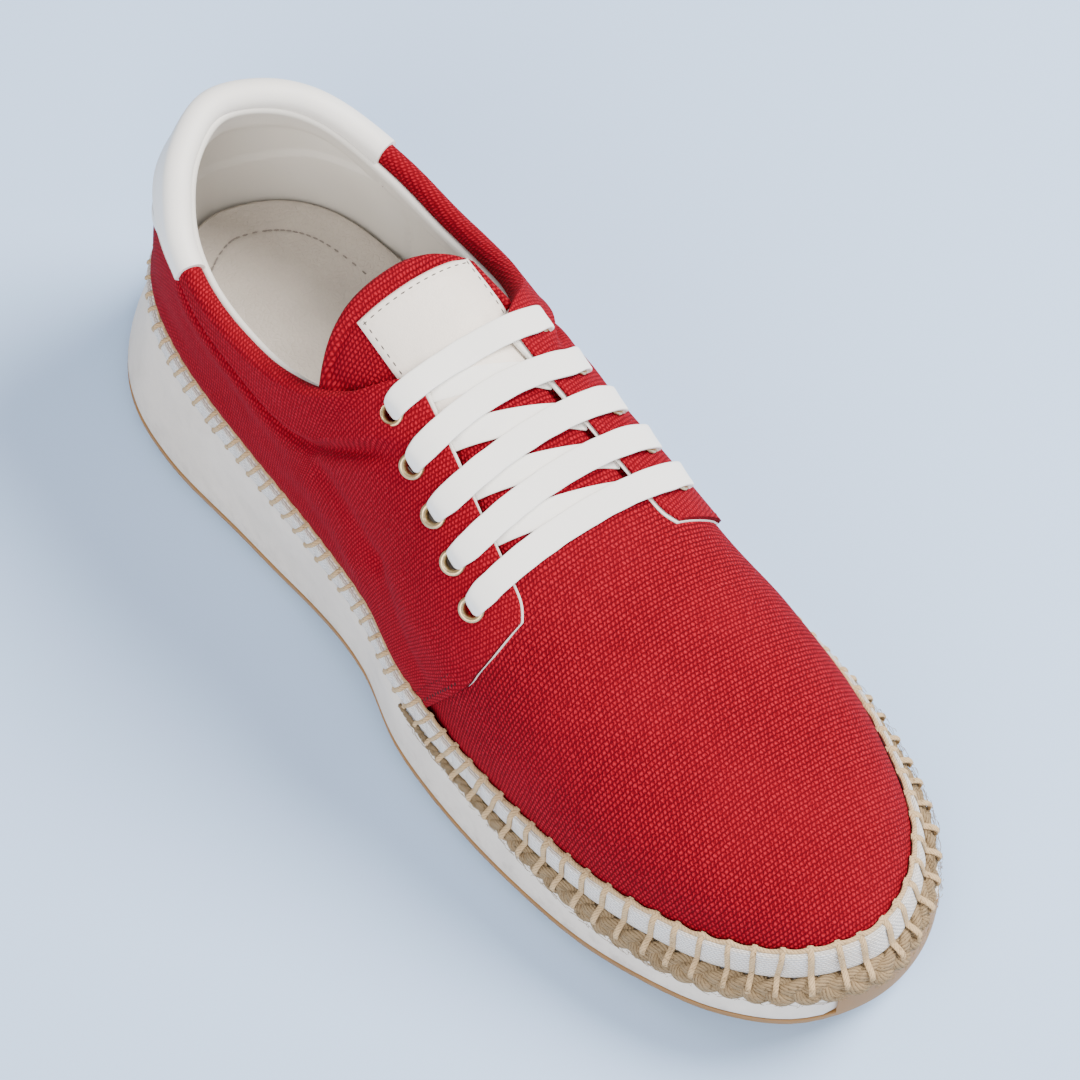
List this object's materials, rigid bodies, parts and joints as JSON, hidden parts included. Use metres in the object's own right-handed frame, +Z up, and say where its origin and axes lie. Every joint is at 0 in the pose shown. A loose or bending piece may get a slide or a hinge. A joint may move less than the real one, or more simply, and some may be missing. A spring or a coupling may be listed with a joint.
{
  "type": "canvas sneaker",
  "caption": "Low lace-up canvas sneaker for the right foot, with a rope-trimmed tape edge, thick foam midsole and gum outsole.",
  "frame": {"origin": "on the floor, below the middle of the shoe", "axes": "+X to the toe, +Y to the wearer's left, which is the inner side of this right shoe, +Z up"},
  "size_m": [0.2721, 0.0942, 0.1043],
  "materials": {
    "gum_rubber": "matt moulded gum rubber",
    "foam": "matt moulded foam rubber",
    "jute": "braided plant fibre",
    "tape": "woven cotton webbing",
    "lining_leather": "smooth light leather",
    "canvas": "coarse woven canvas",
    "tab_leather": "smooth white leather",
    "lace_cotton": "flat woven cotton",
    "eyelet_brass": "pale polished brass"
  },
  "bodies": {
    "root": {"outsole": "gum_rubber", "midsole": "foam", "rope_trim": "jute", "foxing_tape": "tape", "insole": "lining_leather", "upper": "canvas", "heel_tab": "tab_leather", "tongue": "canvas", "lace": "lace_cotton", "eyelet_lateral_1": "eyelet_brass", "eyelet_lateral_2": "eyelet_brass", "eyelet_lateral_3": "eyelet_brass", "eyelet_lateral_4": "eyelet_brass", "eyelet_lateral_5": "eyelet_brass", "eyelet_medial_1": "eyelet_brass", "eyelet_medial_2": "eyelet_brass", "eyelet_medial_3": "eyelet_brass", "eyelet_medial_4": "eyelet_brass", "eyelet_medial_5": "eyelet_brass"}
  },
  "joints": []
}
